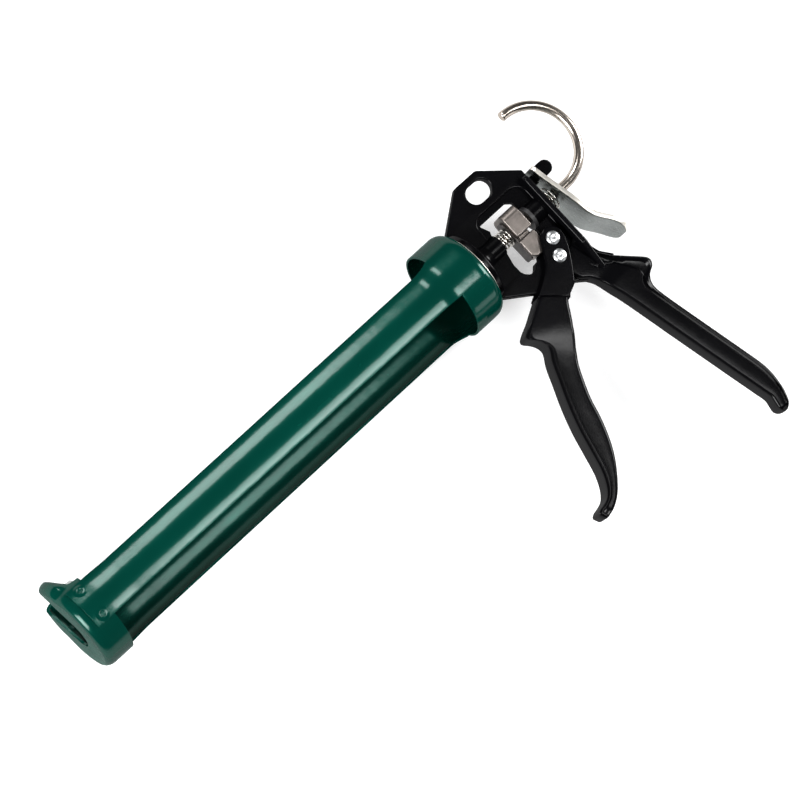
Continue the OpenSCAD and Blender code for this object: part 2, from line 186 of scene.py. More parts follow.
def plate(outline, holes=(), z=(-1, 1), r=0.5, steps=3, rb=None):
    """Flat plate with rounded edges: r on its top edges and rb on its bottom edges."""
    rb = r if rb is None else rb
    loops = [clean(outline)] + [clean(h) for h in holes]
    loops = [loop if (area(loop) > 0) == (i == 0) else loop[::-1] for i, loop in enumerate(loops)]
    prof = []
    for k in range(steps + 1):
        t = math.pi / 2 * k / steps
        prof.append((rb * (1 - math.sin(t)), z[0] + rb * (1 - math.cos(t))))
    for k in range(steps + 1):
        t = math.pi / 2 * k / steps
        prof.append((r * (1 - math.cos(t)), z[1] - r + r * math.sin(t)))
    if rb <= 0:
        prof = [(0, z[0])] + prof[steps + 1:]
    if r <= 0:
        prof = prof[:-(steps + 1)] + [(0, z[1])]
    v, f, tops, bots = [], [], [], []
    for loop in loops:
        base, n = len(v), len(loop)
        rings = [inset(loop, d) for d, _ in prof]
        for ring, (_, h) in zip(rings, prof):
            v += [(q[0], q[1], h) for q in ring]
        for k in range(len(prof) - 1):
            for i in range(n):
                j = (i + 1) % n
                a = base + k * n
                f.append((a + i, a + j, a + n + j, a + n + i))
        bots.append([base + i for i in range(n)])
        tops.append([base + (len(prof) - 1) * n + i for i in range(n)])
    for group, up in ((tops, 1), (bots, -1)):
        flat = [i for g in group for i in g]
        for t in tessellate_polygon([[Vector((v[i][0], v[i][1], 0)) for i in g] for g in group]):
            tri = [flat[i] for i in t]
            s = area([v[i][:2] for i in tri])
            f.append(tuple(tri) if s * up > 0 else tuple(tri[::-1]))
    return Shell(v, f)


def lathe(profile, n=64):
    """Closed [radius, x] profile turned about the rod axis."""
    v, f = [], []
    m = len(profile)
    for t in np.radians(np.linspace(0, 360, n, endpoint=False)):
        v += [(x, -math.cos(t) * r, math.sin(t) * r) for r, x in profile]
    for i in range(n):
        j = (i + 1) % n
        for a in range(m):
            b = (a + 1) % m
            f.append((i * m + a, i * m + b, j * m + b, j * m + a))
    return Shell(v, f)


def tube(profile, n=48):
    """Solid of revolution about the rod axis from an open profile that starts and ends on it."""
    v = [(profile[0][1], 0, 0), (profile[-1][1], 0, 0)]
    body = profile[1:-1]
    m = len(body)
    f = []
    for i in range(n):
        t = 2 * math.pi * i / n
        v += [(x, -math.cos(t) * r, math.sin(t) * r) for r, x in body]
    for i in range(n):
        j = (i + 1) % n
        a, b = 2 + i * m, 2 + j * m
        f.append((0, a, b))
        f.append((1, b + m - 1, a + m - 1))
        for k in range(m - 1):
            f.append((a + k, a + k + 1, b + k + 1, b + k))
    return Shell(v, f)


def soft(profile):
    """Rounds the corners of a closed profile of (radius, x, corner radius)."""
    return rounded(profile, 3)


def loft(rings):
    """Closed loops of equal length, joined in order and closed at both ends."""
    m = len(rings[0])
    v = [q for ring in rings for q in ring]
    f = []
    for k in range(len(rings) - 1):
        for i in range(m):
            j = (i + 1) % m
            f.append((k * m + i, k * m + j, (k + 1) * m + j, (k + 1) * m + i))
    f.append(tuple(range(m))[::-1])
    f.append(tuple((len(rings) - 1) * m + i for i in range(m)))
    return Shell(v, f)


def pipe(path, radius, sides=20, ends=0.35):
    """Round bar along a path of local points, with chamfered ends."""
    p = [Vector(q) for q in path]
    n = len(p)
    tang = [(p[min(i + 1, n - 1)] - p[max(i - 1, 0)]).normalized() for i in range(n)]
    up = Vector((0, 0, 1)) if abs(tang[0].z) < 0.9 else Vector((0, 1, 0))
    side = tang[0].cross(up).normalized()
    angles = np.linspace(0, 2 * math.pi, sides, endpoint=False)
    rings = []
    for i in range(n):
        side = (side - tang[i] * side.dot(tang[i])).normalized()
        other = tang[i].cross(side)
        ring = [p[i] + radius * (math.cos(t) * side + math.sin(t) * other) for t in angles]
        rings.append([tuple(q) for q in ring])

    def chamfer(ring, middle, out):
        return [tuple(Vector(q) + (middle - Vector(q)) * ends + out) for q in ring]

    first = chamfer(rings[0], p[0], tang[0] * -radius * ends)
    last = chamfer(rings[-1], p[-1], tang[-1] * radius * ends)
    return loft([first] + rings + [last])


def to_mesh(shell, name):
    me = bpy.data.meshes.new(name)
    pts = ORIGIN + shell.v * 0.001
    me.from_pydata([tuple(q) for q in pts], [], [tuple(q) for q in shell.f])
    me.validate(clean_customdata=False)
    ob = bpy.data.objects.new(name, me)
    bpy.context.scene.collection.objects.link(ob)
    bm = bmesh.new()
    bm.from_mesh(me)
    bmesh.ops.remove_doubles(bm, verts=bm.verts, dist=1e-7)
    bmesh.ops.dissolve_degenerate(bm, edges=bm.edges, dist=1e-8)
    bmesh.ops.recalc_face_normals(bm, faces=bm.faces)
    bm.to_mesh(me)
    bm.free()
    return ob


def bake(ob):
    """Applies the object's modifiers."""
    dg = bpy.context.evaluated_depsgraph_get()
    me = bpy.data.meshes.new_from_object(ob.evaluated_get(dg))
    old = ob.data
    ob.modifiers.clear()
    ob.data = me
    bpy.data.meshes.remove(old)


def combine(base, others, how="UNION"):
    """Joins the others to the base, or cuts them out of it."""
    for o in others:
        m = base.modifiers.new("join", "BOOLEAN")
        m.operation = how
        m.solver = "MANIFOLD"
        m.object = o
        bake(base)
        bpy.data.objects.remove(o)
    return base


def shade(ob, angle=38, bevel=0, segments=2, bevel_angle=50):
    """Smooth shading with sharp edges kept, and flat faces kept flat."""
    if bevel:
        m = ob.modifiers.new("edge", "BEVEL")
        m.width = bevel * 0.001
        m.segments = segments
        m.limit_method = "ANGLE"
        m.angle_limit = math.radians(bevel_angle)
        bake(ob)
    bm = bmesh.new()
    bm.from_mesh(ob.data)
    for face in bm.faces:
        face.smooth = True
    for e in bm.edges:
        e.smooth = not (len(e.link_faces) == 2 and e.calc_face_angle(0) > math.radians(angle))
    bm.to_mesh(ob.data)
    bm.free()
    w = ob.modifiers.new("flats", "WEIGHTED_NORMAL")
    w.keep_sharp = True
    w.weight = 80


def piece(ob, body, mat, nodes=()):
    """Gives a finished piece its material, hangs it on its body, and hides the CAD nodes that it replaces.
    """
    ob.data.materials.clear()
    ob.data.materials.append(mat)
    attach(ob, body)
    if nodes:
        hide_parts(*nodes)
    return ob


def second_material(ob, mat, test):
    """Gives a second material to the faces whose local centre and normal pass the test."""
    ob.data.materials.append(mat)
    for p in ob.data.polygons:
        if test((np.array(p.center) - ORIGIN) * 1000, p.normal):
            p.material_index = 1


# ---------------------------------------------------------------- materials
def new_mat(name):
    m = bpy.data.materials.new(name)
    m.use_nodes = True
    tree = m.node_tree
    place = tree.nodes.new("ShaderNodeTexCoord").outputs["Object"]
    return m, tree, tree.nodes["Principled BSDF"], place


def noise(tree, place, scale, detail=4.0, rough=0.55, stretch=None):
    """Height of a noise; stretch holds the scale along each axis."""
    if stretch:
        mapping = tree.nodes.new("ShaderNodeMapping")
        mapping.inputs["Scale"].default_value = stretch
        tree.links.new(place, mapping.inputs["Vector"])
        place = mapping.outputs["Vector"]
    n = tree.nodes.new("ShaderNodeTexNoise")
    n.inputs["Scale"].default_value = scale
    n.inputs["Detail"].default_value = detail
    n.inputs["Roughness"].default_value = rough
    tree.links.new(place, n.inputs["Vector"])
    return n.outputs["Fac"]


def blend(tree, height, dark, light):
    """Colour between dark and light as the height rises."""
    r = tree.nodes.new("ShaderNodeValToRGB")
    for stop, at, colour in zip(r.color_ramp.elements, (0.3, 0.7), (dark, light)):
        stop.position = at
        stop.color = (*colour, 1)
    tree.links.new(height, r.inputs["Fac"])
    return r.outputs["Color"]


def spread(tree, height, low, high):
    """Number between low and high as the height rises."""
    r = tree.nodes.new("ShaderNodeMapRange")
    r.inputs["From Min"].default_value = 0.3
    r.inputs["From Max"].default_value = 0.7
    r.inputs["To Min"].default_value = low
    r.inputs["To Max"].default_value = high
    tree.links.new(height, r.inputs["Value"])
    return r.outputs["Result"]


def bump(tree, parts):
    """Stacks bumps of (height, strength, distance in metres)."""
    last = None
    for height, strength, distance in parts:
        b = tree.nodes.new("ShaderNodeBump")
        b.inputs["Strength"].default_value = strength
        b.inputs["Distance"].default_value = distance
        tree.links.new(height, b.inputs["Height"])
        if last:
            tree.links.new(last, b.inputs["Normal"])
        last = b.outputs["Normal"]
    return last


def paint(name, dark, light, shine, coat, peel_size, peel, patch=22, flake=0.0):
    """Paint under a clear top layer; flake is the share of fine metal in it, which tints its shine."""
    m, tree, shader, place = new_mat(name)
    tone = noise(tree, place, patch)
    tree.links.new(blend(tree, tone, dark, light), shader.inputs["Base Color"])
    uneven = noise(tree, place, 70, 5, 0.6, (0.4, 1, 1))
    smoothest, roughest = (0.18, 0.30) if flake else (0.5, 0.7)
    tree.links.new(spread(tree, uneven, smoothest, roughest), shader.inputs["Roughness"])
    shader.inputs["Metallic"].default_value = flake
    shader.inputs["Specular Tint"].default_value = (0.05, 0.25, 0.20, 1)
    shader.inputs["Specular IOR Level"].default_value = 0.0
    shader.inputs["Coat Weight"].default_value = coat
    shader.inputs["Coat IOR"].default_value = 2.0
    shader.inputs["Coat Roughness"].default_value = shine
    waves = noise(tree, place, 75, 2, 0.4)
    orange_peel = noise(tree, place, peel_size, 3, 0.5)
    relief = bump(tree, [(waves, 0.12, 0.0010), (orange_peel, peel, 0.0002)])
    tree.links.new(relief, shader.inputs["Coat Normal"])
    tree.links.new(relief, shader.inputs["Normal"])
    return m


def metal(name, dark, light, rough, grain, strength, stretch=(1, 1, 1), stain=40, rim=1.0):
    """Bare or plated metal; rim is how bright it stays where it is seen edge on."""
    m, tree, shader, place = new_mat(name)
    shader.inputs["Metallic"].default_value = 1
    shader.inputs["Specular Tint"].default_value = (rim, rim, rim, 1)
    tone = noise(tree, place, stain, 5, 0.6)
    tree.links.new(blend(tree, tone, dark, light), shader.inputs["Base Color"])
    lines = noise(tree, place, grain, 4, 0.6, stretch)
    tree.links.new(spread(tree, lines, *rough), shader.inputs["Roughness"])
    tree.links.new(bump(tree, [(lines, strength, 0.0001)]), shader.inputs["Normal"])
    return m


def plastic(name, colour, rough):
    m, tree, shader, place = new_mat(name)
    dark = tuple(c * 0.8 for c in colour)
    tree.links.new(blend(tree, noise(tree, place, 80), dark, colour), shader.inputs["Base Color"])
    uneven = noise(tree, place, 300)
    tree.links.new(spread(tree, uneven, rough - 0.06, rough + 0.08), shader.inputs["Roughness"])
    grain = noise(tree, place, 900, 3)
    tree.links.new(bump(tree, [(grain, 0.12, 0.0001)]), shader.inputs["Normal"])
    return m


GREEN = paint("teal_gloss_paint", (0.0, 0.0330, 0.0235), (0.0, 0.0400, 0.0285),
              shine=0.13, coat=0.155, peel_size=420, peel=0.10, flake=0.32)
# The inside faces: the same teal paint with a darker base, which paints in the shade inside the trough, and
# a thinner clear coat.
SHADED_INNER_PAINT = paint("teal_inner_paint_painted_shade", (0.0, 0.0190, 0.0135), (0.0, 0.0250, 0.0178),
               shine=0.15, coat=0.075, peel_size=420, peel=0.12, flake=0.50)
BLACK = paint("black_casting_paint", (0.0010, 0.0010, 0.0013), (0.0018, 0.0018, 0.0023),
              shine=0.19, coat=0.09, peel_size=600, peel=0.10, patch=45)
NICKEL = metal("nickel_rod", (0.40, 0.355, 0.31), (0.56, 0.505, 0.45),
               (0.19, 0.25), 1400, 0.012, (0.15, 1, 1), rim=0.3)
ZINC = metal("zinc_plate", (0.115, 0.13, 0.125), (0.20, 0.22, 0.21),
             (0.24, 0.33), 900, 0.03, (1, 0.25, 1), stain=60)
SINTER = metal("sintered_steel", (0.155, 0.138, 0.126), (0.27, 0.24, 0.22),
               (0.30, 0.44), 1600, 0.20, (1, 0.25, 0.25), stain=160)
# Steel much darker than the other plated parts, used for the spring seat.
DARK_STEEL = metal("dark_seat_steel", (0.055, 0.05, 0.05), (0.10, 0.09, 0.085),
                   (0.30, 0.42), 1400, 0.08, stain=120)
SPRING = metal("spring_wire", (0.50, 0.48, 0.44), (0.72, 0.70, 0.66), (0.14, 0.28), 1800, 0.08)
RIVET = metal("plated_rivet", (0.62, 0.64, 0.65), (0.80, 0.82, 0.83),
              (0.28, 0.38), 1500, 0.03, stain=200)
# Bare metal, bright and cream; where it is used, it also paints in the glints seen along edges.
BARE_EDGE_AND_GLINT = metal("bare_edge_and_painted_glint", (0.80, 0.76, 0.68), (0.93, 0.90, 0.84), (0.30, 0.45), 1200, 0.12)
BRASS = metal("bush_brass", (0.52, 0.36, 0.14), (0.70, 0.52, 0.24),
              (0.22, 0.38), 1300, 0.10, (1, 0.3, 0.3))
NYLON = plastic("bush_nylon", (0.02, 0.02, 0.021), 0.45)


# ---------------------------------------------------------------- cradle
JOGGLE = CAP_FRONT + 18.5   # the rails step in behind the cap, over this length
JOGGLE_LEN = 17
FLARE_LEN = 12              # and widen into the collar over this one
TURN_IN = -6.7              # the collar's end rounds in behind this
TURN_IN_LEN = 6.2
TURN_IN_DEPTH = 4.1


def smooth01(t):
    t = min(max(t, 0.0), 1.0)
    return t * t * (3 - 2 * t)


def rail_radius(x):
    """Outer radius of the sheet at x."""
    if x < JOGGLE + JOGGLE_LEN:
        return OVER_R + (RAIL_R - OVER_R) * smooth01((x - JOGGLE) / JOGGLE_LEN)
    if x < -COLLAR_LEN:
        start = -COLLAR_LEN - FLARE_LEN
        return RAIL_R + (COLLAR_R - RAIL_R) * smooth01((x - start) / FLARE_LEN)
    if x < TURN_IN:
        return COLLAR_R
    t = min((x - TURN_IN) / TURN_IN_LEN, 1)
    return COLLAR_R - TURN_IN_DEPTH * (1 - math.sqrt(max(0, 1 - t * t)))


def barrel():
    """Rails and collar: a grid of rings along x and angles round it, with the windows left out."""
    near = (CRADLE_ROLL + WINDOW_HALF, CRADLE_ROLL + RAIL_OUTER)
    far = (CRADLE_ROLL - RAIL_OUTER + 360, CRADLE_ROLL - WINDOW_HALF + 360)
    seam = near[0]
    marks = sorted([seam - 0.5, *near, *far])
    marks.append(marks[0] + 360)
    angles = []
    for a, b in zip(marks, marks[1:]):
        n = max(1, round((b - a) / 2.4))
        angles += list(np.linspace(a, b, n, endpoint=False))
    around = len(angles)
    xs = list(np.linspace(shell_lo[0], CAP_FRONT + 17, 5))
    xs += list(np.linspace(JOGGLE, CAP_FRONT + 36, 13))
    xs += list(np.linspace(CAP_FRONT + 40, -44, 22)) + list(np.linspace(-38, -COLLAR_LEN, 14))
    xs += list(np.linspace(-20.5, -8.5, 6))
    xs += [TURN_IN + TURN_IN_LEN * math.sin(math.radians(k)) for k in range(0, 91, 9)]
    xs = np.array(xs)
    first = int(np.argmin(abs(xs + COLLAR_LEN)))   # the collar's first ring
    tiny = 1e-6

    def in_rail(t):
        return any(a - tiny <= turned < b - tiny
                   for a, b in (near, far) for turned in (t % 360, t % 360 + 360))

    edge_kind = {}
    for j, t in enumerate(angles):
        for a, b in (near, far):
            if abs((t - a + 180) % 360 - 180) < tiny:
                edge_kind[j] = -1
            if abs((t - b + 180) % 360 - 180) < tiny:
                edge_kind[j] = 1
    fillet = 4.5        # where a rail's edge runs into the collar
    most = 2.2          # degrees that the fillet may widen the rail
    lap = 0.5           # the wrapped sheet laps over itself at the near rail's lower edge
    v = np.zeros((2, len(xs), around, 3))
    for i, x in enumerate(xs):
        for j, t in enumerate(angles):
            turned = t
            if j in edge_kind and i <= first and abs(t - seam) >= tiny:
                d = -COLLAR_LEN - x
                if d < fillet:
                    grow = fillet - math.sqrt(max(0, fillet ** 2 - (fillet - d) ** 2))
                    turned = t + edge_kind[j] * min(math.degrees(grow / RAIL_R), most)
            r = rail_radius(x)
            below = (seam - t) % 360
            if i > first and 0 < below < 60:
                fade = 1 - smooth01((x + 8) / 5)
                r -= lap * (1 - smooth01((below - 1) / 58)) * fade
            a = math.radians(turned)
            for side, rr in ((0, r), (1, rail_radius(x) - SHEET)):
                v[side, i, j] = (x, -math.cos(a) * rr, math.sin(a) * rr)

    def corner(side, i, j):
        return (side * len(xs) + i) * around + j % around

    cell = {}
    for i in range(len(xs) - 1):
        for j in range(around):
            cell[i, j] = i >= first or in_rail(angles[j] + 0.2)
    f = []
    for (i, j), on in cell.items():
        if not on:
            continue
        o00, o01 = corner(0, i, j), corner(0, i, j + 1)
        o10, o11 = corner(0, i + 1, j), corner(0, i + 1, j + 1)
        i00, i01 = corner(1, i, j), corner(1, i, j + 1)
        i10, i11 = corner(1, i + 1, j), corner(1, i + 1, j + 1)
        f.append((o00, o10, o11, o01))
        f.append((i00, i01, i11, i10))
        if not cell.get((i - 1, j), False):
            f.append((o00, o01, i01, i00))
        if not cell.get((i + 1, j), False):
            f.append((o10, i10, i11, o11))
        if not cell.get((i, (j - 1) % around), False):
            f.append((o00, i00, i10, o10))
        if not cell.get((i, (j + 1) % around), False):
            f.append((o01, o11, i11, i01))
    v = v.reshape(-1, 3)
    used = sorted({k for q in f for k in q})
    remap = {k: n for n, k in enumerate(used)}
    return Shell(v[used], [tuple(remap[k] for k in q) for q in f])


shell = to_mesh(barrel(), "cradle_shell")
shade(shell, angle=40, bevel=0.32, segments=3, bevel_angle=40)
piece(shell, "cradle", GREEN, ["barrel_shell"])
# The faces inside the rails and collar take the darker copy of the teal paint: painted shade inside the
# trough.
second_material(shell, SHADED_INNER_PAINT, lambda c, n: n[1] * c[1] + n[2] * c[2] < 0 and c[0] < -3)

disc = soft([(11.07, -2, 0.2), (11.07, 0, 0.3), (24.35, 0, 0.7),
             (24.35, -0.45, 0.1), (23.9, -0.5, 0), (23.9, -2, 0)])
end_plate = to_mesh(lathe(disc, 96), "end_plate")
shade(end_plate)
# The end plate is bright bare metal whose cream tone also paints the glint along the collar's back edge.
piece(end_plate, "cradle", BARE_EDGE_AND_GLINT, ["barrel_end_plate"])


# ---------------------------------------------------------------- front cap
LOAD = CRADLE_ROLL + 180    # the side that the cartridge goes in by
NOTCH_R = 9.8
SKIRT_R = 26.1
CAP_T = 1.6
LIP_R = 24.5                # the lips follow a circle of this size,
LIP_SHIFT = 8               # moved this far toward the loading side
LIP_FROM = -291.0           # the skirt starts to flare into them here,
LIP_LEN = 6.4               # and is done over this length
ROUND_FROM = -297.4         # the front edge starts to round off here
ROUND_R = 3.5


def skirt_back(p):
    """Where the cap's skirt ends, at p degrees from the loading side."""
    lip_side, lip_middle = -291.6, -297.0
    if p >= 62:
        return CAP_BACK
    if p > 56:
        return CAP_BACK + (lip_side - CAP_BACK) * (1 - ((p - 56) / 6) ** 2) ** 0.5
    return lip_middle + 5.4 * smooth01((p - 28) / 28)


def cap():
    """The deep-drawn cap: a cup whose rim flares into two lips beside the notch."""
    n = 180
    outer, inner = [], []
    for k in range(n):
        phi = 360 * k / n
        p = abs((phi + 180) % 360 - 180)
        across = LIP_SHIFT * math.sin(math.radians(p))
        lip = LIP_SHIFT * math.cos(math.radians(p)) + math.sqrt(LIP_R ** 2 - across ** 2)
        flare = max(lip - SKIRT_R, 0) * (1 - smooth01((p - 52) / 14))
        rim = SKIRT_R + flare
        back = skirt_back(p)
        out_line, in_line = [], []
        for s in np.linspace(0, 1, 9):
            x = back + (ROUND_FROM - back) * s
            g = smooth01((LIP_FROM - x) / LIP_LEN)
            out_line.append((SKIRT_R + flare * g, x))
            in_line.append((SKIRT_R - CAP_T + flare * g * 0.9, x + 0.35 * CAP_T * g))
        reach = CAP_FRONT - ROUND_FROM
        for a in (18, 36, 54, 72, 90):
            c, si = math.cos(math.radians(a)), math.sin(math.radians(a))
            out_line.append((rim - ROUND_R * (1 - c), ROUND_FROM + reach * si))
            in_line.append((rim - ROUND_R * (1 - c) * 0.8 - CAP_T * (0.9 + 0.1 * c),
                            ROUND_FROM + 0.3 * CAP_T + (reach + 0.7 * CAP_T) * si))
        out_line.append((rim * 0.55, CAP_FRONT))
        in_line.append((rim * 0.5, CAP_FRONT + CAP_T))
        a = math.radians(LOAD + phi)
        for line, side in ((out_line, outer), (in_line, inner)):
            side.append([(x, -math.cos(a) * r, math.sin(a) * r) for r, x in line])
    m = len(outer[0])
    v = [q for ring in outer for q in ring] + [q for ring in inner for q in ring]
    v += [(CAP_FRONT, 0, 0), (CAP_FRONT + CAP_T, 0, 0)]
    f = []
    half = n * m
    for i in range(n):
        a, b = i * m, (i + 1) % n * m
        for k in range(m - 1):
            f.append((a + k, b + k, b + k + 1, a + k + 1))
            f.append((half + a + k, half + a + k + 1, half + b + k + 1, half + b + k))
        f.append((a + m - 1, b + m - 1, 2 * half))
        f.append((half + a + m - 1, 2 * half + 1, half + b + m - 1))
        f.append((a, half + a, half + b, b))
    return Shell(v, f)


cap_ob = to_mesh(cap(), "front_cap_drawn")
# the notch: a round root, and sides that open toward the loading side
sides = [(NOTCH_R + 1.4, 22), (NOTCH_R + 4, 40), (-NOTCH_R - 4, 40), (-NOTCH_R - 1.4, 22)]
notch = arc((0, 0), NOTCH_R, 180, 360, 24) + sides
roll = math.radians(180 - LOAD)


def in_notch(u, w, h):
    """u across the notch, w along its opening, h along the rod."""
    ey, ez = math.cos(roll), math.sin(roll)
    return (CAP_FRONT + h, w * ey - u * ez, w * ez + u * ey)


cutter = to_mesh(plate(notch, z=(-4, 9.5), r=0).moved(in_notch), "cut")
combine(cap_ob, [cutter], "DIFFERENCE")
shade(cap_ob, angle=42, bevel=0.45, segments=3, bevel_angle=45)
piece(cap_ob, "cradle", GREEN, ["front_cap"])


def radial_rivet(theta, x):
    """A domed rivet with a set centre, standing on the rail and bent to its curve."""
    v = tube([(0, -2.6), (2.0, -2.6), (2.0, -0.4), (4.4, -0.4), (4.5, -0.08), (3.9, 0.02),
              (3.3, 0.12), (2.7, 0.22), (2.1, 0.30), (1.75, 0.32), (1.5, 0.26), (1.3, 0.05),
              (1.0, -0.3), (0.5, -0.5), (0, -0.52)], 32)
    a = math.radians(theta)
    n = np.array([0, -math.cos(a), math.sin(a)])
    t = np.array([0, math.sin(a), math.cos(a)])
    along = np.array([1.0, 0, 0])
    out = []
    for h, p, q in v.v:
        drop = 0.28 if h < 0.2 else 0.05
        out.append(along * (x + q) + n * (OVER_R + h - drop * p * p / 16) + t * p)
    return Shell(out, v.f)


rivets = []
for side in (-1, 1):
    for off in (60.1, 97.5):
        theta = CRADLE_ROLL + side * off
        rivets.append(to_mesh(radial_rivet(theta, CAP_FRONT + 12.4), "rivet"))
domed = combine(rivets[0], rivets[1:])
domed.name = "cap_rivets_domed"
shade(domed, 50)
piece(domed, "cradle", GREEN, ["cap_rivets"])


# ---------------------------------------------------------------- rod and hook
HOOK_X, HOOK_R = 77.0, 26.2
path = [(x, 0, 0) for x in np.linspace(ROD_FRONT + 1.2, HOOK_X, 40)]
for a in np.radians(np.linspace(4, 182, 52)):
    path.append((HOOK_X + HOOK_R * math.sin(a), HOOK_R - HOOK_R * math.cos(a), 0))
rod = to_mesh(pipe(path, ROD_R, 32, 0.22), "rod_with_hook")
shade(rod, 50)
piece(rod, "ram", NICKEL, ["rod"])


def coil(name, r, wire, x0, x1, turns, node):
    """Spring on the rod, with its end turns closed up."""
    closed = 0.9 / turns      # share of the wire that closes up at each end
    rise = 1 - closed

    def lead(t):
        return t * t / (2 * closed) if t < closed else t - closed / 2

    n = int(turns * 36)
    pts = []
    for i in range(n + 1):
        t = i / n
        a = 2 * math.pi * turns * t
        u = (lead(t) if t < 0.5 else rise - lead(1 - t)) / rise
        pts.append((x0 + (x1 - x0) * u, r * math.cos(a), r * math.sin(a)))
    ob = to_mesh(pipe(pts, wire, 14, 0.1), name)
    shade(ob, 60)
    return piece(ob, "body", SPRING, [node])


def compress(spring, x1):
    """Gives the spring its own copy of its mesh."""
    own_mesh(spring)


drive_spring = coil("drive_return_spring", 5.2, 0.52, 23.5, seat_lo[0] - 0.55, 3.6, "drive_spring")
compress(drive_spring, seat_lo[0])
release_spring = coil("release_return_spring", 6.9, 0.58, 60.0, 64.4, 2.6, "release_spring")
compress(release_spring, 65.0)


# ---------------------------------------------------------------- drive blocks
def along_x(part):
    """A plate drawn in (z, y) and thick along its own z, turned to be thick along x."""
    return part.moved(lambda a, b, h: (h, b, a))


gx0, gx1 = grip_lo[0], grip_hi[0]
ON_ROD = ROD_R + 0.07
block = plate(rounded([(-9, -4.1, 1.0), (9, -4.1, 1.0), (9, 11.5, 4.6), (-9, 11.5, 4.6)], 8),
              [circle((0, 0), ON_ROD, 40)], (gx0, gx1), 0.75, 3)
grip = to_mesh(along_x(block), "grip_block_ground")
shade(grip)
piece(grip, "drive", SINTER, ["grip_block"])

push = plate(rounded([(gx0, -6.3, 0.9), (gx0, -17, 1.2), (34, -19.5, 1.2), (gx1, -19.5, 1.2),
                      (gx1, -6.3, 0.9)], 5), z=(-5.8, 5.8), r=0.7)
tongue = plate(rounded([(gx0 + 2, -8, 0.2), (gx1 - 2, -8, 0.2), (gx1 - 2, -4.1, 0.6),
                        (gx0 + 2, -4.1, 0.6)]), z=(-3.5, 3.5), r=0.4)
pusher = combine(to_mesh(push, "push_block_ground"), [to_mesh(tongue, "tongue")])
shade(pusher)
piece(pusher, "drive", SINTER, ["push_block"])

seat = plate(rounded([(-5.6, seat_lo[1], 2.0), (5.6, seat_lo[1], 2.0), (5.6, 5.0, 5.5),
                      (3.5, seat_hi[1], 3), (-3.5, seat_hi[1], 3), (-5.6, 5.0, 5.5)], 6),
             [circle((0, 0), ON_ROD, 36)], (seat_lo[0], seat_hi[0]), 0.22, 2)
seat_ob = to_mesh(along_x(seat), "spring_seat_plate")
shade(seat_ob)
piece(seat_ob, "drive", DARK_STEEL, ["spring_seat"])


# ---------------------------------------------------------------- frame casting
FRAME_OUTLINE = rounded([
    (2.6, 23.6, 1.5), (25.0, 40.0, 3.5), (41.4, 39.9, 3.5), (62.3, 22.6, 1.6), (62.3, 10.4, 1.0),
    (58.6, 8, 0.5), (58.6, -32, 1), (60.5, -40, 1), (56, -50, 1), (47, -48.5, 2),
    (42.2, -45.0, 2.5), (30.2, -39.9, 4), (19.5, -35.0, 3), (2.6, -23.9, 1.5)], 6)
POCKET = rounded([
    (7.6, -19.9, 1.6), (7.6, -5.5, 1.0), (19.0, -5.5, 0.5), (19.5, 15.6, 3.4), (23.5, 18.9, 3.0),
    (55.4, 18.9, 7.5), (55.4, -20, 2), (52, -25, 3), (46.5, -20.6, 2), (36, -19.9, 2)], 7)
HANGING_SLOT = arc((37.2, 29.6), 5.85, -90, 90, 16) + arc((32.2, 29.6), 5.85, 90, 270, 16)
POCKET_FLOOR = [(5.5, -21.5), (36, -21.6), (46, -23.5), (52, -28), (57.5, -24), (57.5, 20.5), (5.5, 20.5)]
WINDOW = rounded([
    (21, 14.8, 0.6), (23.6, 8.9, 0.4), (22.6, 6.4, 0.4), (22.6, -5, 0.8), (22.0, -8, 2),
    (20.6, -14, 3), (20.8, -21.4, 3), (24.0, -24.4, 3), (27.4, -24.4, 3), (30.2, -21.6, 1.5),
    (36, -21, 1.5), (50.6, -21, 1.5), (50.6, -11, 1), (45.2, -11, 0.6), (45.2, 12.4, 1),
    (42.2, 14.8, 0.8)], 6)
HUB = [(3.5, 0.4, 0), (22.8, 0.4, 0.6), (22.8, 3.7, 1.0), (20.5, 5.2, 3), (12.5, 6.6, 5),
       (7.4, 9.6, 3), (6.8, 14, 2), (6.8, 22.9, 0.5), (3.5, 22.9, 0.2)]
HUB_NOSE = [(5.02, -10, 0.2), (11, -10, 0.5), (11, 1.2, 0), (5.02, 1.2, 0)]
REAR_BOSS = [(4.62, 47.6, 0.2), (7, 47.6, 0.5), (7, 56, 1.5), (8.2, 58.6, 0.2), (4.62, 58.6, 0)]
SPRING_COLLAR = [(3.4, 58, 0), (5.6, 58, 0), (5.6, 61.0, 0.5), (3.4, 61.0, 0.2)]

# Both edges of the handle as (x, depth below the axis), in pairs from its root to its toe.
GRIP_F = [(40.0, 34.0), (41.0, 39.5), (43.0, 44.6), (45.6, 46.8), (47.6, 48.6), (50.0, 52.2),
          (51.6, 56), (52.7, 59.5), (53.5, 62.5), (54.3, 65), (55.2, 67.9), (56.0, 71), (57.0, 75),
          (58.3, 80.5), (60.5, 90), (64.0, 105.2), (68.3, 123.5), (72.3, 140.5), (75.3, 153),
          (77.2, 161), (78.5, 166.6), (78.0, 170.5), (77.4, 174.3), (78.6, 177.3), (80.4, 178.5)]
GRIP_B = [(59.3, 24.0), (61.0, 30.0), (62.6, 36.0), (64.2, 41.0), (66.8, 45.9), (71.2, 50.4),
          (76.0, 55.1), (80.0, 59.0), (82.3, 61.6), (82.9, 64.2), (81.3, 67.0), (77.0, 69.6),
          (74.2, 73.6), (73.9, 78.8), (75.8, 88.5), (79.4, 104), (83.6, 122), (87.6, 139),
          (90.2, 151.5), (90.3, 160.5), (89.1, 167), (87.9, 171), (86.4, 174.8), (84.3, 177.4),
          (82.6, 178.5)]


